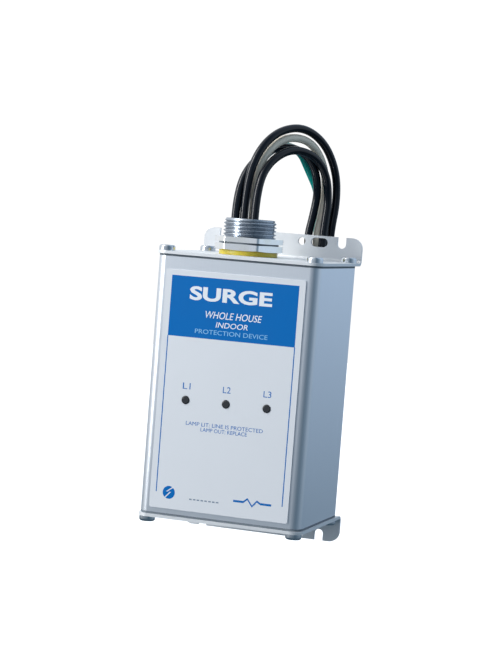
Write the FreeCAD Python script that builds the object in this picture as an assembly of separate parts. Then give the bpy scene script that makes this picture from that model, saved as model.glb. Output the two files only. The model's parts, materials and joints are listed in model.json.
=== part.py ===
"""Whole house surge protector: an extruded aluminium case closed by two end plates with wall
flanges, a face label with three status lamps, a conduit nipple with a locknut, and five leads.

Millimetres, +X to the right, +Y towards the wall, +Z up. The origin is on the wall plane, in the
middle of the pattern of fixing holes in the two wall flanges.
"""
import FreeCAD
import Part
import math
import os

from FreeCAD import Vector

# Case: a vertical length of rectangular aluminium extrusion.
CASE_WIDTH = 84.0
CASE_DEPTH = 67.0
CASE_HEIGHT = 127.0
CASE_WALL = 2.0
CASE_CORNER = 5.0
CASE_BACK = -4.0            # Y of the case's back face, with the wall plane at 0
CASE_FRONT = CASE_BACK - CASE_DEPTH
CASE_TOP = CASE_HEIGHT / 2
CASE_MIDDLE = (CASE_FRONT + CASE_BACK) / 2
PORT_INSET = 3.8            # end screws, from the case's side, front and back
PORT_RADIUS = 1.95
PORT_BLOCK = 8.0            # side of the corner block that holds an end screw
RAIL_REACH = 2.4            # how far a board rail stands in from the side wall
RAIL_THICK = 1.5
RAIL_PLAY = 0.15

# End plates with wall flanges, and the gaskets under them.
GASKET_THICK = 1.0
GASKET_WIDTH = 6.0
PLATE_THICK = 1.5
PLATE_OVERHANG = 1.0
PLATE_BEND = 1.5            # inside radius of the bend
FLANGE_REACH = 15.0         # flange edge, from the end of the case
FLANGE_CORNER = 5.5
HOLE_FROM_EDGE = 3.5
HOLE_ROW = CASE_TOP + FLANGE_REACH - HOLE_FROM_EDGE
USLOT_X = 32.0
OBROUND_X = 20.0
ROUND_X = 10.5
SLOT_RADIUS = 2.3
OBROUND_LENGTH = 9.0
ROUND_RADIUS = 2.0
SCREW_CLEARANCE = 2.2
HEAD_RADIUS = 4.0
HEAD_HEIGHT = 2.8
HEAD_DOME = 1.1
SCREW_LENGTH = 12.0
PLATE_BASE = CASE_TOP + GASKET_THICK
PLATE_TOP = PLATE_BASE + PLATE_THICK

# Face label and status lamps.
LABEL_WIDTH = 72.0
LABEL_BOTTOM = -61.0
LABEL_TOP = 57.2
LABEL_THICK = 0.8
LABEL_CORNER = 1.0
LAMP_Z = -6.4
LAMP_PITCH = 21.0
LENS_RADIUS = 2.0
LENS_STAND = 0.4            # how far a lens stands out of the label
LENS_ROUND = 0.35
LENS_SHOULDER = 3.0
LENS_SHOULDER_THICK = 1.0
LENS_TAIL = 2.0             # length behind the case wall
LAMP_HOLE = 2.1
LAMP_RADIUS = 1.5
LAMP_FLANGE = 1.9
LAMP_FLANGE_THICK = 0.7
LAMP_REACH = 2.2            # board to the start of the lamp's dome

# Conduit nipple, three quarter inch trade size, with its washer and nuts.
NIPPLE_X = -6.0
NIPPLE_Y = CASE_MIDDLE
THREAD_RADIUS = 13.335
RELIEF_RADIUS = 12.9        # under the locknut
NUT_BORE = 13.40
NIPPLE_BORE = 10.5
HEX_FLATS = 31.0
HEX_TURN = 3.0              # degrees, one corner of each nut from +X towards +Y
HEX_CHAMFER = 0.55          # share of a corner's stand-out that the top cone takes off in height
WASHER_RADIUS = 14.75
WASHER_THICK = 2.3
SHOULDER_THICK = 3.5
SEAL_GAP = 0.02
SEAL_THICK = 0.5
NUT_THICK = 2.9
NIPPLE_TOP = 84.4
NIPPLE_END = 59.4
RIM_CHAMFER = 0.5
SHOULDER_BASE = PLATE_TOP + WASHER_THICK
SEAL_BASE = SHOULDER_BASE + SHOULDER_THICK + SEAL_GAP
NUT_BASE = SEAL_BASE + SEAL_THICK + SEAL_GAP
RELIEF_TOP = NUT_BASE + NUT_THICK + 0.2
SEAL_RADIUS = 15.0
BUSHING_RADIUS = 15.6
BUSHING_HEIGHT = 2.0
BUSHING_LIP = 1.2

# Leads.
LEAD_RADIUS = 2.1
BOARD_FACE = -24.6          # front face of the main board
BLOCK_TOP = 33.0
BLOCK_PITCH = 9.0
BLOCK_FIRST_X = -25.0
LEAD_ENTRY_Y = -31.0
LEAD_BENDS = (55.0, 42.0)   # Z of an inner lead's two bends, under the mouth and over the block

# The tied hank of the leads' spare length, a racetrack of turns behind the case.
HANK_Z = 5.0
HANK_STRAIGHT = 38.0
HANK_INNER = 10.5
HANK_OUTER = 19.1
HANK_FRONT = 4.9
HANK_BACK = 26.7
TIE_THICK = 1.1
TIE_WIDTH = 4.8
TIE_GAP = 0.1
TIE_HEAD = (6.4, 4.2, 6.0)  # width, how far it stands behind the hank, height

# Each lead from the nipple's mouth, over in an arch and down behind the top flange.
LEAD_ROUTES = {
    "lead_line_1": [
        (-13.7, -39.0, 84.4), (-13.7, -39.0, 97.0), (-11.2, -31.5, 111.5), (-3.0, -18.7, 121.8),
        (6.0, -7.5, 122.5), (12.5, 1.5, 116.0), (15.0, 6.0, 103.0), (13.2, 7.0, 89.5),
        (10.6, 6.8, 76.0), (13.6, 8.6, 60.0), (16.6, 11.4, 44.0), (17.0, 11.5, 31.0),
    ],
    "lead_line_2": [
        (-9.35, -38.5, 84.4), (-9.35, -38.5, 98.5), (-6.5, -37.0, 116.0), (-0.5, -26.0, 129.0),
        (8.5, -10.0, 133.6), (17.0, 3.5, 126.8), (22.2, 11.5, 112.5), (23.2, 13.6, 97.0),
        (21.6, 11.8, 80.0), (20.5, 16.0, 61.0), (18.2, 20.2, 44.0), (17.0, 20.2, 31.0),
    ],
    "lead_line_3": [
        (-3.0, -40.6, 84.4), (-3.0, -40.6, 98.0), (-1.5, -33.5, 112.0), (5.5, -19.5, 121.5),
        (14.0, -5.5, 120.0), (19.0, 4.5, 111.0), (20.5, 7.6, 97.5), (19.6, 6.8, 84.0),
        (19.2, 6.6, 72.0), (18.9, 6.9, 60.0), (18.3, 7.0, 45.0), (17.0, 7.0, 31.0),
    ],
    "lead_neutral": [
        (-6.2, -34.2, 84.4), (-6.2, -34.2, 100.0), (-5.2, -31.0, 115.5), (1.6, -19.3, 127.0),
        (10.5, -4.5, 127.5), (16.0, 5.5, 118.0), (18.0, 10.5, 104.0), (16.5, 10.8, 89.5),
        (14.5, 9.6, 76.0), (16.0, 14.0, 60.0), (17.0, 15.8, 44.0), (17.1, 15.9, 31.0),
    ],
    "lead_ground": [
        (-10.9, -33.8, 84.4), (-10.9, -33.8, 98.5), (-10.7, -25.7, 109.1), (-4.6, -12.7, 123.1),
        (4.9, -0.5, 122.6), (8.0, 9.8, 111.5), (13.4, 11.2, 101.1), (13.1, 15.7, 89.5),
        (13.6, 15.0, 74.0), (14.8, 19.5, 60.0), (16.5, 24.6, 45.0), (17.0, 24.6, 31.0),
    ],
}
TERMINAL_ORDER = ["lead_line_1", "lead_ground", "lead_line_2", "lead_neutral", "lead_line_3"]

# Boards and what is on them.
BOARD_THICK = 1.6
BOARD_EDGE = 38.6           # half width, into the rails
BOARD_BOTTOM = -58.0
BOARD_TOP = 50.0
LAMP_BOARD_BACK = -61.0
LAMP_BOARD_Z = (-18.0, 6.0)
COLUMN_X = (-24.0, 0.0, 24.0)
PIN_RADIUS = 0.5
VARISTOR_ROWS = (9.0, -17.0)
VARISTOR_RADIUS = 10.5
VARISTOR_THICK = 6.5
VARISTOR_GAP = 3.0          # board to the disc
VARISTOR_PITCH = 7.5        # between its legs
VARISTOR_ROUND = 1.8
FUSE_ROW = -4.0
FUSE_X = (-33.0, -12.0, 12.0)
FUSE_RADIUS = 2.0
FUSE_LENGTH = 10.0
FUSE_SPAN = 14.0            # between its bent leads
FUSE_STAND = 3.2
CAPACITOR_ROW = -37.0
CAPACITOR = (18.0, 13.0, 9.0)
CAPACITOR_ROUND = 0.6
BLOCK_DEPTH = 13.5
BLOCK_HEIGHT = 13.0
BLOCK_END = 5.0             # from the last clamp to the end of the block
CLAMP_RADIUS = 2.4
CLAMP_DEPTH = 2.0
CLAMP_Z = BLOCK_TOP - 7.0
CABLE_X = 28.4
CABLE_Z = -12.0
CABLE_WIDTH = 8.0
CABLE_THICK = 0.9
CABLE_SAG = 7.0
LINER_WIDTH = 66.0
LINER_HEIGHT = 120.0
LINER_THICK = 0.4
LINER_WING = 12.0
LINER_GAP = 0.3
CUSHION_X = 30.0
CUSHION_WIDTH = 8.0
CUSHION_LAP = 2.0           # how far a cushion stands past the board's two faces

# Ground stud in the lower end plate, with its ring terminal, nut and bonding wire.
STUD_X = -15.0
STUD_Y = -50.0
STUD_RADIUS = 2.0
STUD_TOP = -54.5
TERMINAL_RADIUS = 4.6
TERMINAL_THICK = 0.9
NECK_WIDTH = 4.0
NECK = (3.0, 7.0)           # from the stud, along Y
BARREL_RADIUS = 2.1
BARREL = (6.0, 12.0)
GROUND_NUT_FLATS = 7.0
GROUND_NUT_THICK = 3.2
BOND_RADIUS = 1.4
BOND_REACH = (17.0, 19.5)   # the bonding wire's two bends, from the stud along Y
BOND_RISE = 8.0


def save(name, *solids):
    """Writes the solids of one sub-part as parts/NAME.step."""
    shape = solids[0] if len(solids) == 1 else Part.makeCompound(list(solids))
    if not shape.isValid() or any(s.Volume <= 0 for s in shape.Solids) or not shape.Solids:
        raise RuntimeError(name + " is not a valid solid")
    shape.exportStep("parts/" + name + ".step")


def box(low, high):
    size = [b - a for a, b in zip(low, high)]
    return Part.makeBox(size[0], size[1], size[2], Vector(*low))


def rod(radius, start, end):
    """A round bar between two points."""
    a, b = Vector(*start), Vector(*end)
    return Part.makeCylinder(radius, (b - a).Length, a, b - a)


def rounded_plan(width, low_y, high_y, radius, low_z, high_z, rear_radius=None):
    """An upright prism on a rectangle whose corners are rounded, centred on X = 0."""
    block = box((-width / 2, low_y, low_z), (width / 2, high_y, high_z))
    rear = radius if rear_radius is None else rear_radius
    front, back = [], []
    for edge in block.Edges:
        a, b = edge.Vertexes[0].Point, edge.Vertexes[-1].Point
        if abs(a.x - b.x) < 1e-6 and abs(a.y - b.y) < 1e-6:
            (front if abs(a.y - low_y) < 1e-6 else back).append(edge)
    block = block.makeFillet(radius, front)
    if rear:
        back = [
            e for e in block.Edges
            if len(e.Vertexes) == 2
            and abs(e.Vertexes[0].Point.z - e.Vertexes[1].Point.z) > (high_z - low_z) * 0.9
            and abs(e.Vertexes[0].Point.y - high_y) < 1e-6
            and abs(abs(e.Vertexes[0].Point.x) - width / 2) < 1e-6
        ]
        block = block.makeFillet(rear, back)
    return block


def hexagon(flats, base, top, turn=0.0):
    """A hexagonal prism on the nipple's axis, its corners turned off by a cone at the top."""
    corner = flats / math.sqrt(3)
    points = []
    for i in range(7):
        angle = math.radians(turn + 60 * i)
        points.append(Vector(NIPPLE_X + corner * math.cos(angle),
                             NIPPLE_Y + corner * math.sin(angle), base))
    prism = Part.Face(Part.makePolygon(points)).extrude(Vector(0, 0, top - base))
    slope = (corner - flats / 2) * HEX_CHAMFER
    drum = nipple_ring(corner + 0.01, 0, base, top - slope)
    cone = Part.makeCone(corner + 0.01, flats / 2, slope,
                         Vector(NIPPLE_X, NIPPLE_Y, top - slope))
    return prism.common(drum.fuse(cone))


def nipple_ring(outer, inner, base, top):
    """A ring, or a disc where inner is 0, on the nipple's axis."""
    place = Vector(NIPPLE_X, NIPPLE_Y, base)
    ring = Part.makeCylinder(outer, top - base, place)
    if inner:
        ring = ring.cut(Part.makeCylinder(inner, top - base, place))
    return ring


def port_places():
    """The four end screws' X and Y."""
    x = CASE_WIDTH / 2 - PORT_INSET
    return [(sx * x, y) for sx in (-1, 1) for y in (CASE_FRONT + PORT_INSET, CASE_BACK - PORT_INSET)]


def lamp_places():
    return [(i * LAMP_PITCH, LAMP_Z) for i in (-1, 0, 1)]


def flipped(shape):
    """The same shape turned over, top for bottom, for the lower end of the case."""
    return shape.mirror(Vector(0, 0, 0), Vector(0, 0, 1))


def board_rails(face_y):
    """The four rails, two on each side wall, that hold a board whose front face is at face_y."""
    rails = []
    inner = CASE_WIDTH / 2 - CASE_WALL
    for side in (-1, 1):
        near, far = sorted((side * inner, side * (inner - RAIL_REACH)))
        for low in (face_y - RAIL_PLAY - RAIL_THICK, face_y + BOARD_THICK + RAIL_PLAY):
            rails.append(box((near, low, -CASE_TOP), (far, low + RAIL_THICK, CASE_TOP)))
    return rails


def case_extrusion():
    outer = rounded_plan(CASE_WIDTH, CASE_FRONT, CASE_BACK, CASE_CORNER, -CASE_TOP, CASE_TOP)
    inner = rounded_plan(CASE_WIDTH - 2 * CASE_WALL, CASE_FRONT + CASE_WALL,
                         CASE_BACK - CASE_WALL, CASE_CORNER - CASE_WALL, -CASE_TOP, CASE_TOP)
    tube = outer.cut(inner)
    for x, y in port_places():
        sx = 1 if x > 0 else -1
        sy = 1 if y > CASE_MIDDLE else -1
        corner_x = sx * CASE_WIDTH / 2
        corner_y = CASE_BACK if sy > 0 else CASE_FRONT
        xs = sorted((corner_x, corner_x - sx * PORT_BLOCK))
        ys = sorted((corner_y, corner_y - sy * PORT_BLOCK))
        block = box((xs[0], ys[0], -CASE_TOP), (xs[1], ys[1], CASE_TOP))
        tube = tube.fuse(block.common(outer))
    tube = tube.fuse(board_rails(BOARD_FACE) + board_rails(LAMP_BOARD_BACK - BOARD_THICK))
    for x, y in port_places():
        tube = tube.cut(rod(PORT_RADIUS, (x, y, -CASE_TOP), (x, y, CASE_TOP)))
    for x, z in lamp_places():
        tube = tube.cut(rod(LAMP_HOLE, (x, CASE_FRONT - 1, z), (x, CASE_FRONT + CASE_WALL + 1, z)))
    return tube.removeSplitter()


def gasket():
    ring = rounded_plan(CASE_WIDTH, CASE_FRONT, CASE_BACK, CASE_CORNER, CASE_TOP, PLATE_BASE)
    window = rounded_plan(CASE_WIDTH - 2 * GASKET_WIDTH, CASE_FRONT + GASKET_WIDTH,
                          CASE_BACK - GASKET_WIDTH, 8.0, CASE_TOP, PLATE_BASE)
    ring = ring.cut(window)
    for x, y in port_places():
        ring = ring.cut(rod(SCREW_CLEARANCE, (x, y, CASE_TOP), (x, y, PLATE_BASE)))
    return ring


def flange_holes():
    """What is punched out of the wall flange: open slots, obrounds and round holes."""
    edge = CASE_TOP + FLANGE_REACH
    depth = PLATE_THICK + 2
    cuts = []
    for side in (-1, 1):
        x = side * USLOT_X
        cuts.append(rod(SLOT_RADIUS, (x, -depth, HOLE_ROW), (x, 1, HOLE_ROW)))
        cuts.append(box((x - SLOT_RADIUS, -depth, HOLE_ROW), (x + SLOT_RADIUS, 1, edge + 1)))
        half = OBROUND_LENGTH / 2 - SLOT_RADIUS
        x = side * OBROUND_X
        for end in (-half, half):
            cuts.append(rod(SLOT_RADIUS, (x + end, -depth, HOLE_ROW), (x + end, 1, HOLE_ROW)))
        cuts.append(box((x - half, -depth, HOLE_ROW - SLOT_RADIUS),
                        (x + half, 1, HOLE_ROW + SLOT_RADIUS)))
        x = side * ROUND_X
        cuts.append(rod(ROUND_RADIUS, (x, -depth, HOLE_ROW), (x, 1, HOLE_ROW)))
    return cuts


def end_plate():
    """The upper end plate: a flat sheet over the gasket, bent up at the wall into a flange."""
    width = CASE_WIDTH + 2 * PLATE_OVERHANG
    front = CASE_FRONT - PLATE_OVERHANG
    edge = CASE_TOP + FLANGE_REACH
    bend = PLATE_BEND + PLATE_THICK
    x = -width / 2
    centre_y, centre_z = -bend, PLATE_BASE + bend
    half = math.sqrt(0.5)

    def at(y, z):
        return Vector(x, y, z)

    outline = Part.Wire([
        Part.LineSegment(at(front, PLATE_BASE), at(centre_y, PLATE_BASE)).toShape(),
        Part.Arc(at(centre_y, PLATE_BASE), at(centre_y + bend * half, centre_z - bend * half),
                 at(0, centre_z)).toShape(),
        Part.LineSegment(at(0, centre_z), at(0, edge)).toShape(),
        Part.LineSegment(at(0, edge), at(-PLATE_THICK, edge)).toShape(),
        Part.LineSegment(at(-PLATE_THICK, edge), at(-PLATE_THICK, centre_z)).toShape(),
        Part.Arc(at(-PLATE_THICK, centre_z),
                 at(centre_y + PLATE_BEND * half, centre_z - PLATE_BEND * half),
                 at(centre_y, PLATE_TOP)).toShape(),
        Part.LineSegment(at(centre_y, PLATE_TOP), at(front, PLATE_TOP)).toShape(),
        Part.LineSegment(at(front, PLATE_TOP), at(front, PLATE_BASE)).toShape(),
    ])
    plate = Part.Face(outline).extrude(Vector(width, 0, 0))
    plate = plate.common(rounded_plan(width, front, 1.0, CASE_CORNER + PLATE_OVERHANG,
                                      PLATE_BASE - 1, edge + 1, rear_radius=0))
    corners = [
        e for e in plate.Edges
        if abs(e.Vertexes[0].Point.z - edge) < 1e-6 and abs(e.Vertexes[-1].Point.z - edge) < 1e-6
        and abs(abs(e.Vertexes[0].Point.x) - width / 2) < 1e-6
        and abs(e.Vertexes[0].Point.x - e.Vertexes[-1].Point.x) < 1e-6
    ]
    plate = plate.makeFillet(FLANGE_CORNER, corners)
    for cut in flange_holes():
        plate = plate.cut(cut)
    for px, py in port_places():
        plate = plate.cut(rod(SCREW_CLEARANCE, (px, py, PLATE_BASE - 1), (px, py, PLATE_TOP + 1)))
    return plate.removeSplitter()


def end_screw(x, y):
    """A pan head screw with a cross recess, driven down into a corner port."""
    shank = rod(PORT_RADIUS - 0.05, (x, y, PLATE_TOP - SCREW_LENGTH), (x, y, PLATE_TOP))
    head = rod(HEAD_RADIUS, (x, y, PLATE_TOP), (x, y, PLATE_TOP + HEAD_HEIGHT))
    rim = [e for e in head.Edges if abs(e.BoundBox.ZMin - PLATE_TOP - HEAD_HEIGHT) < 1e-6
           and abs(e.BoundBox.ZMax - PLATE_TOP - HEAD_HEIGHT) < 1e-6]
    head = head.makeFillet(HEAD_DOME, rim)
    top = PLATE_TOP + HEAD_HEIGHT
    for dx, dy in ((1.9, 0.45), (0.45, 1.9)):
        head = head.cut(box((x - dx, y - dy, top - 1.4), (x + dx, y + dy, top + 1)))
    return head.fuse(shank).removeSplitter()


def face_label():
    back = CASE_FRONT
    plate = box((-LABEL_WIDTH / 2, back - LABEL_THICK, LABEL_BOTTOM),
                (LABEL_WIDTH / 2, back, LABEL_TOP))
    corners = [e for e in plate.Edges
               if abs(e.Vertexes[0].Point.y - e.Vertexes[1].Point.y) > LABEL_THICK / 2]
    plate = plate.makeFillet(LABEL_CORNER, corners)
    for x, z in lamp_places():
        plate = plate.cut(rod(LAMP_HOLE, (x, back - 2, z), (x, back + 1, z)))
    return plate


def status_lens(x, z):
    """A smoky lens in the label and case wall, with a shoulder behind the wall."""
    inside = CASE_FRONT + CASE_WALL
    nose = CASE_FRONT - LABEL_THICK - LENS_STAND
    stem = rod(LENS_RADIUS, (x, nose, z), (x, inside + LENS_TAIL, z))
    rim = [e for e in stem.Edges if abs(e.BoundBox.YMax - nose) < 1e-6]
    stem = stem.makeFillet(LENS_ROUND, rim)
    shoulder = rod(LENS_SHOULDER, (x, inside, z), (x, inside + LENS_SHOULDER_THICK, z))
    return stem.fuse(shoulder).removeSplitter()


def status_lamp(x, z):
    """A light emitting diode standing on the lamp board."""
    face = LAMP_BOARD_BACK - BOARD_THICK
    body = rod(LAMP_RADIUS, (x, face, z), (x, face - LAMP_REACH, z))
    dome = Part.makeSphere(LAMP_RADIUS, Vector(x, face - LAMP_REACH, z))
    flange = rod(LAMP_FLANGE, (x, face, z), (x, face - LAMP_FLANGE_THICK, z))
    return flange.fuse([body, dome]).removeSplitter()


def conduit_nipple():
    tail = nipple_ring(RELIEF_RADIUS, 0, NIPPLE_END, RELIEF_TOP)
    thread = nipple_ring(THREAD_RADIUS, 0, RELIEF_TOP, NIPPLE_TOP - RIM_CHAMFER)
    rim = Part.makeCone(THREAD_RADIUS, THREAD_RADIUS - RIM_CHAMFER, RIM_CHAMFER,
                        Vector(NIPPLE_X, NIPPLE_Y, NIPPLE_TOP - RIM_CHAMFER))
    shoulder = hexagon(HEX_FLATS, SHOULDER_BASE, SHOULDER_BASE + SHOULDER_THICK, HEX_TURN)
    solid = tail.fuse([thread, rim, shoulder])
    return solid.cut(nipple_ring(NIPPLE_BORE, 0, NIPPLE_END, NIPPLE_TOP)).removeSplitter()


def nut(base, thick):
    return hexagon(HEX_FLATS, base, base + thick, HEX_TURN).cut(
        nipple_ring(NUT_BORE, 0, base, base + thick))


def throat_bushing():
    """A plastic bushing on the nipple's inner end, with a lip that guards the leads."""
    ring = nipple_ring(BUSHING_RADIUS, NUT_BORE, NIPPLE_END, NIPPLE_END + BUSHING_HEIGHT)
    lip = nipple_ring(BUSHING_RADIUS, NIPPLE_BORE, NIPPLE_END - BUSHING_LIP, NIPPLE_END)
    return ring.fuse(lip).removeSplitter()


def routed_tube(points, radius, show=None):
    """A round tube along straight runs joined by tangent arcs, each as large as its runs allow."""
    points = [Vector(*p) for p in points]
    edges, last, radii = [], points[0], []
    for a, b, c in zip(points, points[1:], points[2:]):
        back, on = (a - b), (c - b)
        turn = math.pi - back.getAngle(on)
        tangent = 0.45 * min(back.Length, on.Length)
        radii.append(tangent / math.tan(turn / 2))
        back.normalize()
        on.normalize()
        start, end = b + back * tangent, b + on * tangent
        middle = back + on
        middle.normalize()
        reach = radii[-1] / math.cos(turn / 2) - radii[-1]
        edges.append(Part.LineSegment(last, start).toShape())
        edges.append(Part.Arc(start, b + middle * reach, end).toShape())
        last = end
    edges.append(Part.LineSegment(last, points[-1]).toShape())
    path = Part.Wire(edges)
    along = points[1] - points[0]
    section = Part.Wire([Part.Circle(points[0], along, radius).toShape()])
    tube = path.makePipeShell([section], True, False)
    share = tube.Volume / (math.pi * radius ** 2 * path.Length)
    if show:
        print("%s: length %.1f mm, smallest radius %.1f mm, volume share %.4f"
              % (show, path.Length, min(radii), share))
    return tube


def inner_lead(name):
    """The stretch of a lead between the terminal block and the nipple's mouth."""
    mouth = LEAD_ROUTES[name][0]
    x = BLOCK_FIRST_X + BLOCK_PITCH * TERMINAL_ORDER.index(name)
    return routed_tube([mouth, (mouth[0], mouth[1], LEAD_BENDS[0]),
                        (x, LEAD_ENTRY_Y, LEAD_BENDS[1]), (x, LEAD_ENTRY_Y, BLOCK_TOP)], LEAD_RADIUS)


def racetrack(radius, front, back):
    """An upright slab with round ends, as wide as twice the radius."""
    half = HANK_STRAIGHT / 2
    slab = box((-radius, front, HANK_Z - half), (radius, back, HANK_Z + half))
    for end in (-half, half):
        slab = slab.fuse(rod(radius, (0, front, HANK_Z + end), (0, back, HANK_Z + end)))
    return slab.removeSplitter()


def lead_hank():
    return racetrack(HANK_OUTER, HANK_FRONT, HANK_BACK).cut(
        racetrack(HANK_INNER, HANK_FRONT, HANK_BACK))


def hank_tie(side):
    """A flat tie round one run of the hank, with its head at the back."""
    xs = sorted((side * (HANK_INNER - TIE_GAP), side * (HANK_OUTER + TIE_GAP)))
    low_y, high_y = HANK_FRONT - TIE_GAP, HANK_BACK + TIE_GAP
    low_z, high_z = HANK_Z - TIE_WIDTH / 2, HANK_Z + TIE_WIDTH / 2
    band = box((xs[0] - TIE_THICK, low_y - TIE_THICK, low_z),
               (xs[1] + TIE_THICK, high_y + TIE_THICK, high_z))
    band = band.makeFillet(1.0, [e for e in band.Edges if e.BoundBox.ZLength > TIE_WIDTH / 2])
    band = band.cut(box((xs[0], low_y, low_z), (xs[1], high_y, high_z)))
    middle = (xs[0] + xs[1]) / 2
    wide, deep, tall = TIE_HEAD
    head = box((middle - wide / 2, high_y + TIE_THICK / 2, HANK_Z - tall / 2),
               (middle + wide / 2, high_y + deep, HANK_Z + tall / 2))
    return band.fuse(head).removeSplitter()


def board(face_y, low_z, high_z):
    return box((-BOARD_EDGE, face_y, low_z), (BOARD_EDGE, face_y + BOARD_THICK, high_z))


def varistor(x, z):
    """A coated disc standing edge on to the board, on two legs."""
    centre = BOARD_FACE - VARISTOR_GAP - VARISTOR_RADIUS
    half = VARISTOR_THICK / 2
    disc = rod(VARISTOR_RADIUS, (x - half, centre, z), (x + half, centre, z))
    disc = disc.makeFillet(VARISTOR_ROUND, [e for e in disc.Edges if e.BoundBox.XLength < 1e-6])
    legs = [rod(PIN_RADIUS, (x, centre + VARISTOR_RADIUS * 0.75, z + s), (x, BOARD_FACE, z + s))
            for s in (-VARISTOR_PITCH / 2, VARISTOR_PITCH / 2)]
    return disc.fuse(legs).removeSplitter()


def thermal_fuse(x):
    """A small axial fuse lying along the board, with its leads bent down to it."""
    y, z = BOARD_FACE - FUSE_STAND, FUSE_ROW
    half = FUSE_SPAN / 2
    body = rod(FUSE_RADIUS, (x, y, z - FUSE_LENGTH / 2), (x, y, z + FUSE_LENGTH / 2))
    wires = [rod(PIN_RADIUS, (x, y, z - half), (x, y, z + half))]
    wires += [rod(PIN_RADIUS, (x, y, z + s), (x, BOARD_FACE, z + s)) for s in (-half, half)]
    return body.fuse(wires).removeSplitter()


def film_capacitor(x):
    width, depth, height = CAPACITOR
    block = box((x - width / 2, BOARD_FACE - depth, CAPACITOR_ROW - height / 2),
                (x + width / 2, BOARD_FACE, CAPACITOR_ROW + height / 2))
    return block.makeFillet(CAPACITOR_ROUND, [e for e in block.Edges if e.BoundBox.YLength > 1])


def terminal_block():
    """Five clamps in a row, with the leads entering from above and their screws in front."""
    count = len(TERMINAL_ORDER)
    last = BLOCK_FIRST_X + (count - 1) * BLOCK_PITCH
    face = BOARD_FACE - BLOCK_DEPTH
    block = box((BLOCK_FIRST_X - BLOCK_END, face, BLOCK_TOP - BLOCK_HEIGHT),
                (last + BLOCK_END, BOARD_FACE, BLOCK_TOP))
    for i in range(count):
        x = BLOCK_FIRST_X + i * BLOCK_PITCH
        block = block.cut(rod(CLAMP_RADIUS, (x, face - 1, CLAMP_Z), (x, face + CLAMP_DEPTH, CLAMP_Z)))
    return block


def lamp_cable():
    """A flat cable, sagging between the lamp board and the main board."""
    near, far = LAMP_BOARD_BACK, BOARD_FACE
    top, bottom = CABLE_Z, CABLE_Z - CABLE_THICK

    def at(y, level):
        return Vector(CABLE_X, y, level)

    def bow(level):
        middle = at((near + far) / 2, level - CABLE_SAG)
        return Part.Arc(at(near, level), middle, at(far, level)).toShape()

    outline = Part.Wire([
        bow(top),
        Part.LineSegment(at(far, top), at(far, bottom)).toShape(),
        bow(bottom),
        Part.LineSegment(at(near, bottom), at(near, top)).toShape(),
    ])
    return Part.Face(outline).extrude(Vector(CABLE_WIDTH, 0, 0))


def insulating_liner():
    """A folded sheet between the main board's solder side and the back of the case."""
    back = CASE_BACK - CASE_WALL - LINER_GAP
    half, tall, thin = LINER_WIDTH / 2, LINER_HEIGHT / 2, LINER_THICK / 2
    sheet = box((-half, back - LINER_THICK, -tall), (half, back, tall))
    wings = [box((x - thin, back - LINER_WING, -tall), (x + thin, back, tall))
             for x in (-half, half)]
    return sheet.fuse(wings).removeSplitter()


def board_cushions():
    """Foam blocks between the board's ends and the end plates."""
    low_y, high_y = BOARD_FACE - CUSHION_LAP, BOARD_FACE + BOARD_THICK + CUSHION_LAP
    half = CUSHION_WIDTH / 2
    blocks = []
    for x in (-CUSHION_X, CUSHION_X):
        blocks.append(box((x - half, low_y, -PLATE_BASE), (x + half, high_y, BOARD_BOTTOM)))
        blocks.append(box((x - half, low_y, BOARD_TOP), (x + half, high_y, PLATE_BASE)))
    return blocks


def ground_stud():
    return rod(STUD_RADIUS, (STUD_X, STUD_Y, -PLATE_TOP), (STUD_X, STUD_Y, STUD_TOP))


def ring_terminal():
    """A crimped ring on the ground stud, its barrel towards the board."""
    base = -PLATE_BASE
    top = base + TERMINAL_THICK
    axis = base + BARREL_RADIUS
    ring = rod(TERMINAL_RADIUS, (STUD_X, STUD_Y, base), (STUD_X, STUD_Y, top))
    neck = box((STUD_X - NECK_WIDTH / 2, STUD_Y + NECK[0], base),
               (STUD_X + NECK_WIDTH / 2, STUD_Y + NECK[1], top))
    barrel = rod(BARREL_RADIUS, (STUD_X, STUD_Y + BARREL[0], axis),
                 (STUD_X, STUD_Y + BARREL[1], axis))
    return ring.fuse([neck, barrel]).cut(rod(STUD_RADIUS, (STUD_X, STUD_Y, base),
                                             (STUD_X, STUD_Y, top)))


def ground_nut():
    base = -PLATE_BASE + TERMINAL_THICK
    corner = GROUND_NUT_FLATS / math.sqrt(3)
    points = [Vector(STUD_X + corner * math.cos(math.radians(60 * i)),
                     STUD_Y + corner * math.sin(math.radians(60 * i)), base) for i in range(7)]
    prism = Part.Face(Part.makePolygon(points)).extrude(Vector(0, 0, GROUND_NUT_THICK))
    return prism.cut(rod(STUD_RADIUS, (STUD_X, STUD_Y, base),
                         (STUD_X, STUD_Y, base + GROUND_NUT_THICK)))


def bonding_wire():
    """The short wire that bonds the ring terminal to the board's ground pad."""
    z = -PLATE_BASE + BARREL_RADIUS
    return routed_tube([(STUD_X, STUD_Y + BARREL[1], z), (STUD_X, STUD_Y + BOND_REACH[0], z),
                        (STUD_X, STUD_Y + BOND_REACH[1], z + BOND_RISE),
                        (STUD_X, BOARD_FACE, z + BOND_RISE)], BOND_RADIUS)


def save_case():
    save("body_extrusion", case_extrusion())
    plate, seal = end_plate(), gasket()
    conduit_hole = nipple_ring(THREAD_RADIUS + 0.3, 0, PLATE_BASE - 1, PLATE_TOP + 1)
    stud_hole = rod(STUD_RADIUS, (STUD_X, STUD_Y, -PLATE_TOP - 1), (STUD_X, STUD_Y, -PLATE_BASE + 1))
    save("top_end_plate", plate.cut(conduit_hole))
    save("bottom_end_plate", flipped(plate).cut(stud_hole))
    save("top_gasket", seal)
    save("bottom_gasket", flipped(seal))
    screws = [end_screw(x, y) for x, y in port_places()]
    save("top_end_screws", *screws)
    save("bottom_end_screws", *[flipped(s) for s in screws])


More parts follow.
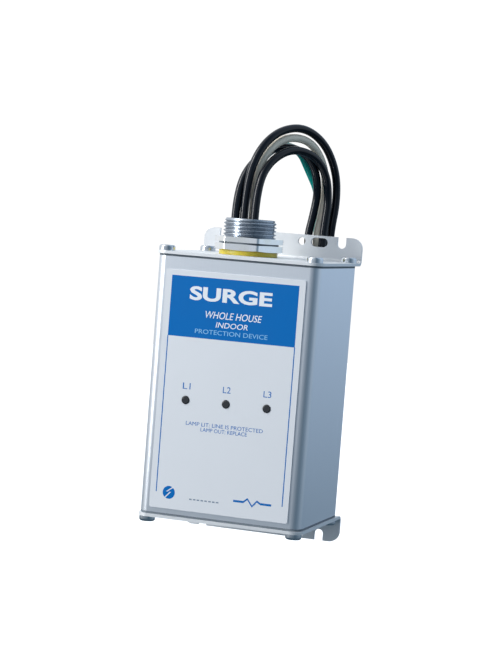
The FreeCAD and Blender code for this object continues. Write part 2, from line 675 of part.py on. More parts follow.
def save_face():
    save("face_label", face_label())
    for i, (x, z) in enumerate(lamp_places()):
        save("status_lens_%d" % (i + 1), status_lens(x, z))
    save("status_lamps", *[status_lamp(x, z) for x, z in lamp_places()])
    save("lamp_board", board(LAMP_BOARD_BACK - BOARD_THICK, *LAMP_BOARD_Z))
    save("lamp_cable", lamp_cable())


def save_inside():
    save("main_board", board(BOARD_FACE, BOARD_BOTTOM, BOARD_TOP))
    save("varistors", *[varistor(x, z) for x in COLUMN_X for z in VARISTOR_ROWS])
    save("thermal_fuses", *[thermal_fuse(x) for x in FUSE_X])
    save("film_capacitors", *[film_capacitor(x) for x in COLUMN_X])
    save("terminal_block", terminal_block())
    save("insulating_liner", insulating_liner())
    save("board_cushions", *board_cushions())
    save("ground_stud", ground_stud())
    save("ring_terminal", ring_terminal())
    save("ground_nut", ground_nut())
    save("bonding_wire", bonding_wire())


def save_nipple():
    save("conduit_nipple", conduit_nipple())
    save("sealing_washer", nipple_ring(WASHER_RADIUS, NUT_BORE, PLATE_TOP, SHOULDER_BASE))
    save("locknut_seal", nipple_ring(SEAL_RADIUS, NUT_BORE, SEAL_BASE, SEAL_BASE + SEAL_THICK))
    save("locknut", nut(NUT_BASE, NUT_THICK))
    save("inner_locknut", nut(PLATE_BASE - NUT_THICK, NUT_THICK))
    save("throat_bushing", throat_bushing())


def save_leads():
    hank = lead_hank()
    for name, route in LEAD_ROUTES.items():
        save(name, routed_tube(route, LEAD_RADIUS, name).cut(hank))
        save("inner_" + name, inner_lead(name))
    save("lead_hank", hank)
    save("hank_ties", hank_tie(-1), hank_tie(1))


os.makedirs("parts", exist_ok=True)
save_case()
save_face()
save_inside()
save_nipple()
save_leads()
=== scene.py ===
"""Looks of a whole house surge protector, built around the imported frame.

Metres, in the frame of the CAD model: +X to the right, +Y towards the wall, +Z up. The leads'
routes, the print on the label and the softened edges are given in millimetres.
"""
import json
import math

import bmesh
import bpy
from mathutils import Matrix, Vector


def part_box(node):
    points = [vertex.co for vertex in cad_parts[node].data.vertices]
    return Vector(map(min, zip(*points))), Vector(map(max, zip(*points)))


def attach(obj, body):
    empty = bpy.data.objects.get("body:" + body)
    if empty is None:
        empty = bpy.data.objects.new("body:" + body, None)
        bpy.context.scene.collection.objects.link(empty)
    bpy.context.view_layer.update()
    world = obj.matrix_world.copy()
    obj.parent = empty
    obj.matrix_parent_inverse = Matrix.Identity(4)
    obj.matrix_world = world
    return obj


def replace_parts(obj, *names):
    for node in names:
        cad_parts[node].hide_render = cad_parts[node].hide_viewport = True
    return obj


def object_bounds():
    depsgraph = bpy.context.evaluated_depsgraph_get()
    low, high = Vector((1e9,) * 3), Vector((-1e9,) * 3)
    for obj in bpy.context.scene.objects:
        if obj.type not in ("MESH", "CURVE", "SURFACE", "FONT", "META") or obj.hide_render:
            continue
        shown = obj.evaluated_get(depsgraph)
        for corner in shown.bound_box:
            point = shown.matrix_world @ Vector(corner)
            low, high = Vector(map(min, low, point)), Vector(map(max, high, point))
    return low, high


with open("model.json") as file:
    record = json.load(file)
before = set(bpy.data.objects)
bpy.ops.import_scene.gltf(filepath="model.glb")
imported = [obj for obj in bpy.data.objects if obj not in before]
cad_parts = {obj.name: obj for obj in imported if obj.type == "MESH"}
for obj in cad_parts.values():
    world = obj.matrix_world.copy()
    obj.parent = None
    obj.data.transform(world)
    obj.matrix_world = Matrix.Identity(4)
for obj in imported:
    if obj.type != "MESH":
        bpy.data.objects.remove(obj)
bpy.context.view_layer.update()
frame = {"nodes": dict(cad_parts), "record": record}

MM = 0.001
ENCLOSURE = "enclosure"
LOCKNUT = "locknut"

# Angles in degrees over which an edge stays sharp.
PLAIN_SHARP = 30
MOULDED_SHARP = 40
STRAND_SHARP = 50
TOOTH_SHARP = 25
THREAD_SHARP = 75

# Camera, aimed near the middle of the case's front face.
VIEW_AZIMUTH = math.radians(18.32)
VIEW_ELEVATION = math.radians(3.48)
VIEW_ROLL = math.radians(4.44)
VIEW_DISTANCE = 0.9948
VIEW_PAN = (0.00887, 0.02897)       # to the camera's right and up, before the roll
VIEW_LENS = 110.0
VIEW_NEAREST = 0.05

# Leads. Each route runs from the nipple's mouth to the top of the hank, in millimetres.
LEAD_DIAMETER = 4.2 * MM
LEAD_LENGTH = 457 * MM
TIP_LENGTH = 8 * MM
LEAD_ROUNDNESS = 6                  # the curve's bevel resolution
LEAD_STEPS = 10                     # its steps between two points
TURN_PITCH = 4.4 * MM               # from the hank's outer turn to its inner one
LEAD_ROUTES = {
    "lead_line_1": [
        (-13.7, -39.0, 84.4), (-13.7, -39.0, 97.0), (-11.2, -31.5, 111.5), (-3.0, -18.7, 121.8),
        (6.0, -7.5, 122.5), (12.5, 1.5, 116.0), (15.0, 6.0, 103.0), (13.2, 7.0, 89.5),
        (10.6, 6.8, 76.0), (13.6, 8.6, 60.0), (16.6, 11.4, 44.0), (17.0, 11.5, 31.0),
    ],
    "lead_line_2": [
        (-9.35, -38.5, 84.4), (-9.35, -38.5, 98.5), (-6.5, -37.0, 116.0), (-0.5, -26.0, 129.0),
        (8.5, -10.0, 133.6), (17.0, 3.5, 126.8), (22.2, 11.5, 112.5), (23.2, 13.6, 97.0),
        (21.6, 11.8, 80.0), (20.5, 16.0, 61.0), (18.2, 20.2, 44.0), (17.0, 20.2, 31.0),
    ],
    "lead_line_3": [
        (-3.0, -40.6, 84.4), (-3.0, -40.6, 98.0), (-1.5, -33.5, 112.0), (5.5, -19.5, 121.5),
        (14.0, -5.5, 120.0), (19.0, 4.5, 111.0), (20.5, 7.6, 97.5), (19.6, 6.8, 84.0),
        (19.2, 6.6, 72.0), (18.9, 6.9, 60.0), (18.3, 7.0, 45.0), (17.0, 7.0, 31.0),
    ],
    "lead_neutral": [
        (-6.2, -34.2, 84.4), (-6.2, -34.2, 100.0), (-5.2, -31.0, 115.5), (1.6, -19.3, 127.0),
        (10.5, -4.5, 127.5), (16.0, 5.5, 118.0), (18.0, 10.5, 104.0), (16.5, 10.8, 89.5),
        (14.5, 9.6, 76.0), (16.0, 14.0, 60.0), (17.0, 15.8, 44.0), (17.1, 15.9, 31.0),
    ],
    "lead_ground": [
        (-10.9, -33.8, 84.4), (-10.9, -33.8, 98.5), (-10.7, -25.7, 109.1), (-4.6, -12.7, 123.1),
        (4.9, -0.5, 122.6), (8.0, 9.8, 111.5), (13.4, 11.2, 101.1), (13.1, 15.7, 89.5),
        (13.6, 15.0, 74.0), (14.8, 19.5, 60.0), (16.5, 24.6, 45.0), (17.0, 24.6, 31.0),
    ],
}
RUN_STATIONS = 4                    # of the hank's turns, on each straight run
BEND_STATIONS = 8                   # and round each end

# The bared end of a lead.
STRANDS = 6                         # round a middle one
STRAND_RADIUS = 0.43 * MM
STRAND_TWIST = 1.4                  # radians over the tip's length
STRAND_ROWS = 10
STRAND_SIDES = 8
STRAND_TAPER = 0.8                  # share of the radius that is left at the cut end

# Hank ties: a band round each run of the hank, a head and a cut tail.
TIE_WIDTH = 4.8 * MM
TIE_THICK = 1.1 * MM
TIE_INNER = 10.4 * MM               # from the hank's middle
TIE_PAST = 0.1 * MM                 # beyond the hank's outside
TIE_EASE = (0.2 * MM, 0.4 * MM)     # room round the leads, across and deep
TIE_CORNER = 1.3 * MM
TIE_INNER_EDGE = 0.35 * MM
TIE_OUTER_EDGE = 0.3 * MM
HEAD_SIZE = Vector((6.4, 4.4, 6.0)) * MM
HEAD_WALL = 1.2 * MM
HEAD_SLOT = 1.6 * MM
HEAD_ROUNDING = 0.45 * MM
HEAD_CREASE = 0.5                   # radians
TAIL_LENGTH = 4.0 * MM
TAIL_WIDTH = 4.2 * MM
TAIL_THICK = 1.0 * MM
TAIL_TEETH = 8
TOOTH_DEPTH = 0.35 * MM

# Nipple and nuts.
THREAD_PITCH = 25.4 * MM / 14
THREAD_CREST = 13.335 * MM
THREAD_DEPTH = 1.05 * MM
THREAD_ROOT = 0.12                  # share of half a pitch that is flat at the root
THREAD_SLOPE = 0.72                 # and the share that slopes up to the crest
THREAD_ROWS = 100
RIM_DROP = 1.1 * MM                 # by which the crest is lower at the rim
RIM_SLOPE = 0.5                     # radius for height, where it comes back below the rim
RIM_WALL = 1.6 * MM
RIM_TURN = 0.5 * MM
NUT_BORE = 13.40 * MM
NIPPLE_BORE = 10.5 * MM
TAIL_SLACK = 0.05 * MM              # keeps the smooth end clear of what it passes through
SEAL_GAP = 0.02 * MM                # between the shoulder and the locknut's seal
EDGE_TURN = 0.3 * MM
SHOULDER_TURN = 0.4 * MM
HEX_FLATS = 31.0 * MM
HEX_TURN = math.radians(3.0)
HEX_CORNER = 0.3 * MM               # taken off each corner
HEX_BREAK = 0.12 * MM               # taken off each edge in the middle of a flat
HEX_SLOPE = 0.06                    # of the cone that turns off the corners
SHOULDER_SLOPE = 0.15
LATHE_STEPS = 240

# Print on the face label: left, right, low and high of each item, in millimetres.
BAND = (-32.8, 32.8, 24.6, 54.4)
SIDE_RULES = (-32.75, 32.75)
SIDE_RULE_Z = (-53.0, 24.6)
SIDE_RULE_WIDTH = 0.5
LETTERING = [
    ("print_headline", "white_ink", "SURGE", (-22.9, 19.7, 42.9, 49.8), {"bold": 0.035}),
    ("print_line_1", "white_ink", "WHOLE HOUSE", (-14.6, 15.2, 34.8, 38.2),
     {"bold": 0.004, "slant": 0.18}),
    ("print_line_2", "white_ink", "INDOOR", (-8.3, 8.8, 30.5, 33.2), {"bold": 0.004, "slant": 0.18}),
    ("print_line_3", "pale_ink", "PROTECTION DEVICE", (-18.8, 18.7, 26.9, 29.1), {}),
    ("print_note_1", "blue_ink", "LAMP LIT: LINE IS PROTECTED", (-19.9, 20.0, -18.5, -16.6), {}),
    ("print_note_2", "blue_ink", "LAMP OUT: REPLACE", (-12.0, 12.0, -21.0, -19.1), {}),
]
LAMP_X = (-20.9, 0.0, 20.9)
LAMP_TEXT = (4.0, -1.0, 2.1)        # width, low and high
BADGE_CENTRE = (-26.1, -52.8)
BADGE_RADIUS = 3.2
BADGE_GAP = 0.13                    # half of the cut, as a share of the radius
BADGE_STEPS = 20
WAVE = (7.6, 27.2, -55.0, -51.0)
WAVE_TURNS = (5.2, 7.2, 9.8, 12.2, 14.0)    # from its left end
WAVE_PEAKS = (0.3, 0.3, 0.9)                # below high, above low, below high
WAVE_WEIGHT = 1.05
DASHES = 8
DASH = (1.3, -55.2, -54.6)          # width, low and high
DASH_START = -15.2
DASH_PITCH = 2.0
LETTER_STEPS = 4                    # of a letter's curve
INK_THICK = 0.02 * MM
OVER_BAND = 2                       # layers of ink, so that it clears the band

# Edges that are softened, by node, in millimetres.
SOFT_EDGES = {
    "body_extrusion": 0.18, "top_end_plate": 0.3, "bottom_end_plate": 0.3, "top_gasket": 0.15,
    "bottom_gasket": 0.15, "face_label": 0.15, "top_end_screws": 0.12, "bottom_end_screws": 0.12,
    "sealing_washer": 0.3,
}
WELD_DISTANCE = 0.001 * MM
FLAT_ANGLE = math.radians(0.6)      # faces that meet within this become one
CREASE_ANGLE = math.radians(32)     # edges over this are softened

# Finishes: where the noise of the grain and the clouds acts, as shares of its range.
GRAIN_DETAIL = 5
CLOUD_DETAIL = 3
DRIFT_CLOUDS = (0.4, 0.75)
DRIFT_MOST = 0.6
GLOSS_CLOUDS = (0.3, 0.7)
LEAST_ROUGHNESS = 0.02

# Floor, lights and studio.
FLOOR_HALF = 12.0
FLOOR_DROP = 0.8
FLOOR_GLOW = 0.65
LIGHT_AIM = (0, -0.03, 0.08)
LIGHTS = [
    # name, place, size and power
    ("key", (-0.9, -0.8, 0.50), (0.22, 1.1), 13),
    ("top", (-0.7, -0.5, 1.0), (0.5, 0.5), 3.5),
]
BACKDROP_LIGHT = 1.05
ROOM_LIGHT = 1.22
ROOM_HORIZON = (-0.24, 0.05)        # heights of a direction between which the low light ends
LOW_LIGHT = (0.065, 0.105, 0.14)
ROOM_STOPS = [
    # turn from -X by way of -Y, +X and +Y, and the light's colour there
    (0.00, (0.90, 0.93, 0.96)), (0.06, (1.25, 1.25, 1.25)), (0.12, (0.80, 0.81, 0.83)),
    (0.20, (0.58, 0.62, 0.68)), (0.28, (0.36, 0.41, 0.47)), (0.36, (0.10, 0.15, 0.20)),
    (0.46, (0.26, 0.34, 0.43)), (0.54, (0.55, 0.65, 0.76)), (0.70, (0.43, 0.56, 0.73)),
    (0.76, (0.60, 0.66, 0.72)), (0.88, (0.80, 0.82, 0.85)), (1.00, (0.90, 0.93, 0.96)),
]


# ---------------------------------------------------------------- small helpers

def link(name, data):
    """A new object in the scene."""
    piece = bpy.data.objects.new(name, data)
    bpy.context.scene.collection.objects.link(piece)
    return piece


def settle(work, mesh, sharp):
    """Writes a bmesh to a mesh, smooth-shaded, with edges over the sharp angle in degrees kept."""
    work.to_mesh(mesh)
    work.free()
    mesh.shade_smooth()
    mesh.set_sharp_from_angle(angle=math.radians(sharp))


def mesh_object(name, points, faces, sharp=PLAIN_SHARP):
    """An object of these points and faces, facing outwards."""
    mesh = bpy.data.meshes.new(name)
    mesh.from_pydata([tuple(p) for p in points], [], faces)
    work = bmesh.new()
    work.from_mesh(mesh)
    bmesh.ops.recalc_face_normals(work, faces=work.faces)
    settle(work, mesh, sharp)
    return link(name, mesh)


def tube_faces(base, rows, sides):
    """Faces of a tube with closed ends, whose rows of points start at a base number."""
    faces = []
    for j in range(rows - 1):
        for i in range(sides):
            n = (i + 1) % sides
            a, b = base + j * sides, base + (j + 1) * sides
            faces.append((a + i, a + n, b + n, b + i))
    faces.append([base + i for i in range(sides)])
    faces.append([base + (rows - 1) * sides + i for i in range(sides)])
    return faces


def ring_faces(rows, sides):
    """Faces of a tube whose last row of points joins its first."""
    faces = []
    for j in range(rows):
        k = (j + 1) % rows
        for i in range(sides):
            n = (i + 1) % sides
            faces.append((j * sides + i, j * sides + n, k * sides + n, k * sides + i))
    return faces


def dress(piece, body, material):
    """Gives a finished piece its body and its material."""
    piece.data.materials.clear()
    piece.data.materials.append(material)
    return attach(piece, body)


def lathe(name, rings, centre, steps=LATHE_STEPS, sharp=PLAIN_SHARP):
    """A closed surface round an upright axis. Each ring gives its radius and height at an angle."""
    points = []
    for ring in rings:
        for i in range(steps):
            angle = 2 * math.pi * i / steps
            radius, height = ring(angle)
            points.append((centre.x + radius * math.cos(angle),
                           centre.y + radius * math.sin(angle), height))
    return mesh_object(name, points, ring_faces(len(rings), steps), sharp)


def circle(radius, height):
    """A plain round ring of a lathe."""
    return lambda angle: (radius, height)


def softened(node, width, segments=2):
    """A copy of a CAD node with its sharp edges rounded over, which stands for it."""
    source = frame["nodes"][node].data
    work = bmesh.new()
    for vertex in source.vertices:
        work.verts.new(vertex.co)
    work.verts.ensure_lookup_table()
    for face in source.polygons:
        work.faces.new([work.verts[i] for i in face.vertices])
    bmesh.ops.remove_doubles(work, verts=work.verts, dist=WELD_DISTANCE)
    bmesh.ops.dissolve_limit(work, angle_limit=FLAT_ANGLE, verts=work.verts, edges=work.edges)
    edges = [e for e in work.edges
             if len(e.link_faces) == 2 and e.calc_face_angle(0) > CREASE_ANGLE]
    bmesh.ops.bevel(work, geom=edges, offset=width, segments=segments, profile=0.5,
                    affect="EDGES", clamp_overlap=True)
    mesh = bpy.data.meshes.new(node + "_finished")
    settle(work, mesh, MOULDED_SHARP)
    piece = link(node + "_finished", mesh)
    piece.modifiers.new("Weighted normals", "WEIGHTED_NORMAL").keep_sharp = True
    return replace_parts(piece, node)


# ---------------------------------------------------------------- materials

def noise(tree, place, scale, detail):
    """A noise field, as the output of its node."""
    node = tree.nodes.new("ShaderNodeTexNoise")
    node.inputs["Scale"].default_value = scale
    node.inputs["Detail"].default_value = detail
    tree.links.new(place, node.inputs["Vector"])
    return node.outputs["Fac"]


def map_range(tree, value, source, target, interpolation="LINEAR"):
    """Maps one range of a value to another and holds it there."""
    node = tree.nodes.new("ShaderNodeMapRange")
    node.interpolation_type = interpolation
    for socket, number in zip(("From Min", "From Max", "To Min", "To Max"), (*source, *target)):
        node.inputs[socket].default_value = number
    tree.links.new(value, node.inputs["Value"])
    return node.outputs["Result"]


def mix_colours(tree, share, first, second):
    """Mixes two colours, each of them a plain colour or another node's output."""
    node = tree.nodes.new("ShaderNodeMix")
    node.data_type = "RGBA"
    tree.links.new(share, node.inputs["Factor"])
    for socket, colour in (("A", first), ("B", second)):
        if isinstance(colour, bpy.types.NodeSocket):
            tree.links.new(colour, node.inputs[socket])
        else:
            node.inputs[socket].default_value = (*colour, 1)
    return node.outputs["Result"]


def surface(name, colour, roughness, metallic=0.0, grain=900.0, stretch=(1, 1, 1), tint=0.08,
            cloud=45.0, rough_spread=0.06, bump=0.15, depth=0.02, other=None, **sockets):
    """A finish with a fine grain in its colour and relief and soft clouds in its gloss.

    Grain and cloud are noise scales per metre, depth is the relief in millimetres, and other is
    the colour that the clouds drift towards.
    """
    material = bpy.data.materials.new(name)
    material.use_nodes = True
    tree = material.node_tree
    shader = tree.nodes["Principled BSDF"]
    shader.inputs["Metallic"].default_value = metallic
    for socket, value in sockets.items():
        shader.inputs[socket.replace("_", " ")].default_value = value

    place = tree.nodes.new("ShaderNodeTexCoord").outputs["Object"]
    stretched = tree.nodes.new("ShaderNodeMapping")
    stretched.inputs["Scale"].default_value = stretch
    tree.links.new(place, stretched.inputs["Vector"])
    fine = noise(tree, stretched.outputs["Vector"], grain, GRAIN_DETAIL)
    clouds = noise(tree, place, cloud, CLOUD_DETAIL)

    darker = [c * (1 - tint) for c in colour]
    lighter = [min(c * (1 + tint), 1) for c in colour]
    shade = mix_colours(tree, fine, darker, lighter)
    drift = map_range(tree, clouds, DRIFT_CLOUDS, (0, DRIFT_MOST))
    drifted = mix_colours(tree, drift, shade, other or darker)
    tree.links.new(drifted, shader.inputs["Base Color"])

    limits = (max(roughness - rough_spread, LEAST_ROUGHNESS), roughness + rough_spread)
    gloss = map_range(tree, clouds, GLOSS_CLOUDS, limits)
    tree.links.new(gloss, shader.inputs["Roughness"])

    relief = tree.nodes.new("ShaderNodeBump")
    relief.inputs["Strength"].default_value = bump
    relief.inputs["Distance"].default_value = depth * MM
    tree.links.new(fine, relief.inputs["Height"])
    tree.links.new(relief.outputs["Normal"], shader.inputs["Normal"])
    return material


def make_materials():
    """One finish for each material slot of the record, and those of the thread, tips and inks."""
    made = {}

    def make(name, *args, **more):
        made[name] = surface(name, *args, **more)

    make("case_aluminium", (0.73, 0.77, 0.82), 0.34, 1.0, grain=2600, stretch=(1, 1, 0.012),
         tint=0.03, bump=0.10, depth=0.006, cloud=12, rough_spread=0.015)
    make("plate_steel", (0.74, 0.76, 0.78), 0.42, 0.35, grain=3500, stretch=(1, 0.05, 1),
         tint=0.04, bump=0.10, depth=0.006, cloud=60)
    make("gasket_rubber", (0.14, 0.17, 0.20), 0.62, grain=2500, tint=0.2, bump=0.4, depth=0.03)
    make("bright_screw", (0.60, 0.64, 0.68), 0.12, 1.0, grain=1500, tint=0.06, bump=0.12,
         other=(0.48, 0.52, 0.57))
    make("label_face", (0.72, 0.745, 0.78), 0.42, grain=5200, tint=0.03, bump=0.25, depth=0.012,
         Specular_IOR_Level=0.45)
    make("smoky_lens", (0.018, 0.019, 0.022), 0.12, grain=500, tint=0.25, bump=0.02,
         Coat_Weight=0.5, Coat_Roughness=0.06)
    make("lamp_resin", (0.35, 0.55, 0.38), 0.15, grain=700, Transmission_Weight=0.4)
    make("circuit_board", (0.015, 0.13, 0.05), 0.35, grain=1200, tint=0.2, bump=0.3)
    make("flat_cable", (0.42, 0.43, 0.46), 0.45, grain=900, stretch=(1, 0.02, 0.02), bump=0.4)
    make("varistor_coat", (0.02, 0.07, 0.32), 0.28, grain=700, bump=0.3, depth=0.06)
    make("fuse_sleeve", (0.70, 0.66, 0.55), 0.30, grain=800)
    make("capacitor_case", (0.62, 0.42, 0.05), 0.38, grain=1600, bump=0.2)
    make("block_plastic", (0.03, 0.033, 0.037), 0.42, grain=1800, tint=0.2, bump=0.25)
    make("liner_sheet", (0.62, 0.58, 0.48), 0.55, grain=1300, stretch=(1, 1, 0.2), bump=0.3)
    make("foam_block", (0.05, 0.05, 0.055), 0.9, grain=1500, tint=0.3, bump=0.8, depth=0.2)
    make("tinned_copper", (0.74, 0.72, 0.68), 0.28, 1.0, grain=1400, other=(0.66, 0.55, 0.42))
    make("zinc_plate", (0.88, 0.90, 0.92), 0.10, 1.0, grain=1500, tint=0.07, bump=0.14,
         other=(0.80, 0.79, 0.66), cloud=110, rough_spread=0.05)
    make("cut_zinc", (0.40, 0.44, 0.49), 0.24, 1.0, grain=1500, tint=0.10, bump=0.14,
         other=(0.32, 0.36, 0.41), cloud=110, rough_spread=0.08)
    make("yellow_fibre", (0.55, 0.43, 0.03), 0.38, grain=1600, tint=0.12, bump=0.25,
         other=(0.52, 0.47, 0.03), cloud=90, Subsurface_Weight=0.15, Subsurface_Scale=0.001)
    make("black_insulation", (0.001, 0.003, 0.008), 0.15, grain=1300, tint=0.2, bump=0.08,
         depth=0.02, cloud=120, rough_spread=0.03, Specular_IOR_Level=0.35)
    make("white_insulation", (0.95, 0.87, 0.72), 0.32, grain=1300, tint=0.04, bump=0.08,
         depth=0.02, cloud=120, other=(0.85, 0.76, 0.62), Specular_IOR_Level=0.35)
    make("green_insulation", (0.0005, 0.19, 0.17), 0.24, grain=1300, tint=0.08, bump=0.10,
         depth=0.02, cloud=120, Specular_IOR_Level=0.15)
    make("tie_nylon", (0.74, 0.74, 0.70), 0.38, grain=1200, tint=0.04, bump=0.1,
         Subsurface_Weight=0.2, Subsurface_Scale=0.001)
    make("blue_ink", (0.0005, 0.142, 0.46), 0.40, grain=4200, tint=0.07, bump=0.2, depth=0.01,
         Specular_IOR_Level=0.15)
    make("white_ink", (0.80, 0.83, 0.87), 0.42, grain=4200, tint=0.03, bump=0.2, depth=0.01)
    make("pale_ink", (0.22, 0.52, 0.78), 0.42, grain=4200, tint=0.05, bump=0.2, depth=0.01)
    make("grey_ink", (0.16, 0.22, 0.30), 0.42, grain=4200, tint=0.05, bump=0.2, depth=0.01)
    make("bare_copper", (0.86, 0.42, 0.25), 0.26, 1.0, grain=1800, stretch=(1, 1, 0.2), tint=0.1)
    return made


# ---------------------------------------------------------------- camera

def make_camera():
    """Looks at the case a little from the right and from above, with a slight roll."""
    low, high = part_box("body_extrusion")
    aim = Vector((0, low.y, (low.z + high.z) / 2))
    back = Vector((math.sin(VIEW_AZIMUTH) * math.cos(VIEW_ELEVATION),
                   -math.cos(VIEW_AZIMUTH) * math.cos(VIEW_ELEVATION),
                   math.sin(VIEW_ELEVATION)))
    right = Vector((math.cos(VIEW_AZIMUTH), math.sin(VIEW_AZIMUTH), 0))
    up = back.cross(right)
    place = aim + back * VIEW_DISTANCE + right * VIEW_PAN[0] + up * VIEW_PAN[1]
    across = right * math.cos(VIEW_ROLL) + up * math.sin(VIEW_ROLL)
    upright = up * math.cos(VIEW_ROLL) - right * math.sin(VIEW_ROLL)
    camera = link("camera", bpy.data.cameras.new("camera"))
    camera.data.lens = VIEW_LENS
    camera.data.clip_start = VIEW_NEAREST
    camera.matrix_world = (Matrix.Translation(place)
                           @ Matrix((across, upright, back)).transposed().to_4x4())
    bpy.context.scene.camera = camera


# ---------------------------------------------------------------- leads

def hank_stations(layer):
    """Points round the hank's two turns at one depth, down the right run first.

    The cord moves inwards by a turn's pitch on its way up the left run and round the top.
    """
    low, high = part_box("lead_hank")
    middle = (low.z + high.z) / 2
    half_run = (high.z - low.z) / 2 - high.x
    outer = high.x - LEAD_DIAMETER / 2
    per_turn = 2 * (RUN_STATIONS + BEND_STATIONS)
    inward = (RUN_STATIONS * 2 + BEND_STATIONS, per_turn - 1)
    for i in range(2 * per_turn):
        share = min(max((i - inward[0]) / (inward[1] - inward[0]), 0), 1)
        radius = outer - TURN_PITCH * share * share * (3 - 2 * share)
        side, step = divmod(i % per_turn, RUN_STATIONS + BEND_STATIONS)
        sign = 1 if side == 0 else -1
        if step < RUN_STATIONS:
            height = sign * half_run * (1 - 2 * step / RUN_STATIONS)
            yield Vector((sign * radius, layer, middle + height))
        else:
            angle = math.pi * (step - RUN_STATIONS) / BEND_STATIONS
            yield Vector((sign * radius * math.cos(angle), layer,
                          middle - sign * (half_run + radius * math.sin(angle))))


def lead_points(route):
    """The free route, then the turns of the hank until the lead's length is used up."""
    points = [Vector(p) * MM for p in route]
    spare = LEAD_LENGTH - TIP_LENGTH - sum((b - a).length for a, b in zip(points, points[1:]))
    for station in hank_stations(points[-1].y):
        step = (station - points[-1]).length
        if step > spare:
            points.append(points[-1].lerp(station, spare / step))
            break
        points.append(station)
        spare -= step
    return points


def lead_curve(name, points):
    """A round cord whose smooth line is drawn by these points."""
    data = bpy.data.curves.new(name, "CURVE")
    data.dimensions = "3D"
    data.bevel_depth = LEAD_DIAMETER / 2
    data.bevel_resolution = LEAD_ROUNDNESS
    data.resolution_u = LEAD_STEPS
    data.use_fill_caps = True
    spline = data.splines.new("NURBS")
    spline.points.add(len(points) - 1)
    for control, point in zip(spline.points, points):
        control.co = (*point, 1)
    spline.order_u = 3
    spline.use_endpoint_u = True
    return link(name, data)


def copper_tip(name, start, direction):
    """The bared end of a lead: strands laid round a middle one, with a slight twist."""
    along = direction.normalized()
    side = along.orthogonal().normalized()
    cross = along.cross(side)
    points, faces = [], []
    for k in range(STRANDS + 1):
        base = len(points)
        spread = 0 if k == STRANDS else 2 * STRAND_RADIUS
        for j in range(STRAND_ROWS):
            share = j / (STRAND_ROWS - 1)
            turn = math.radians(360 / STRANDS * k) + STRAND_TWIST * share
            middle = (start + along * (TIP_LENGTH * share)
                      + (side * math.cos(turn) + cross * math.sin(turn)) * spread)
            radius = STRAND_RADIUS * (STRAND_TAPER if j == STRAND_ROWS - 1 else 1)
            for i in range(STRAND_SIDES):
                angle = 2 * math.pi * i / STRAND_SIDES
                points.append(middle + (side * math.cos(angle) + cross * math.sin(angle)) * radius)
        faces += tube_faces(base, STRAND_ROWS, STRAND_SIDES)
    return mesh_object(name, points, faces, STRAND_SHARP)


def make_leads(finishes, ties):
    """The five leads with their bared ends. The ties, which hold all five, are passed in but not
    used.
    """
    slots = {"lead_neutral": "white_insulation", "lead_ground": "green_insulation"}
    for name, route in LEAD_ROUTES.items():
        points = lead_points(route)
        piece = lead_curve(name + "_cord", points)
        slot = slots.get(name, "black_insulation")
        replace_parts(dress(piece, ENCLOSURE, finishes[slot]), name, "lead_hank")
        tip = copper_tip(name + "_tip", points[-1], points[-1] - points[-2])
        dress(tip, ENCLOSURE, finishes["bare_copper"])


# ---------------------------------------------------------------- hank ties

def tie_loop(across, deep, steps=6):
    """A rounded rectangle, as points and outward directions, that a tie's band follows."""
    spots = []
    for k, (sx, sy) in enumerate(((1, 1), (-1, 1), (-1, -1), (1, -1))):
        middle = Vector((sx * (across / 2 - TIE_CORNER), sy * (deep / 2 - TIE_CORNER), 0))
        for i in range(steps + 1):
            angle = math.pi / 2 * (k + i / steps)
            out = Vector((math.cos(angle), math.sin(angle), 0))
            spots.append((middle + out * TIE_CORNER, out))
    return spots


def tie_band(name, middle, across, deep):
    """The band of a tie, with rounded edges."""
    edge = TIE_WIDTH / 2
    crown = edge - TIE_INNER_EDGE
    section = [(0, -crown), (0, crown), (TIE_INNER_EDGE, edge), (TIE_THICK - TIE_OUTER_EDGE, edge),
               (TIE_THICK, crown), (TIE_THICK, -crown), (TIE_THICK - TIE_OUTER_EDGE, -edge),
               (TIE_INNER_EDGE, -edge)]
    spots = tie_loop(across + TIE_EASE[0], deep + TIE_EASE[1])
    points = [middle + spot + out * reach + Vector((0, 0, level))
              for spot, out in spots for reach, level in section]
    return mesh_object(name, points, ring_faces(len(spots), len(section)), MOULDED_SHARP)


def tie_head(name):
    """The head of a tie, a rounded block with a slot in each side that the band goes through."""
    work = bmesh.new()
    bmesh.ops.create_cube(work, size=1, matrix=Matrix.Diagonal((*HEAD_SIZE, 1)))
    slot = [f for f in work.faces if abs(f.normal.x) > 0.9]
    bmesh.ops.inset_individual(work, faces=slot, thickness=HEAD_WALL)
    for face in slot:
        bmesh.ops.translate(work, vec=-face.normal * HEAD_SLOT, verts=face.verts)
    bmesh.ops.bevel(work, geom=[e for e in work.edges if e.calc_face_angle(0) > HEAD_CREASE],
                    offset=HEAD_ROUNDING, segments=3, profile=0.5, affect="EDGES",
                    clamp_overlap=True)
    mesh = bpy.data.meshes.new(name)
    settle(work, mesh, MOULDED_SHARP)
    return link(name, mesh)


def tie_tail(name, side):
    """The cut tail that stands out of a tie's head, with the teeth of its inner face."""
    rows = 2 * TAIL_TEETH + 1
    points = []
    for i in range(rows):
        x = -side * TAIL_LENGTH * i / (rows - 1)
        inner = -TAIL_THICK / 2 + (TOOTH_DEPTH if i % 2 else 0)
        for y, z in ((inner, -TAIL_WIDTH / 2), (inner, TAIL_WIDTH / 2),
                     (TAIL_THICK / 2, TAIL_WIDTH / 2), (TAIL_THICK / 2, -TAIL_WIDTH / 2)):
            points.append((x, y, z))
    return mesh_object(name, points, tube_faces(0, rows, 4), TOOTH_SHARP)


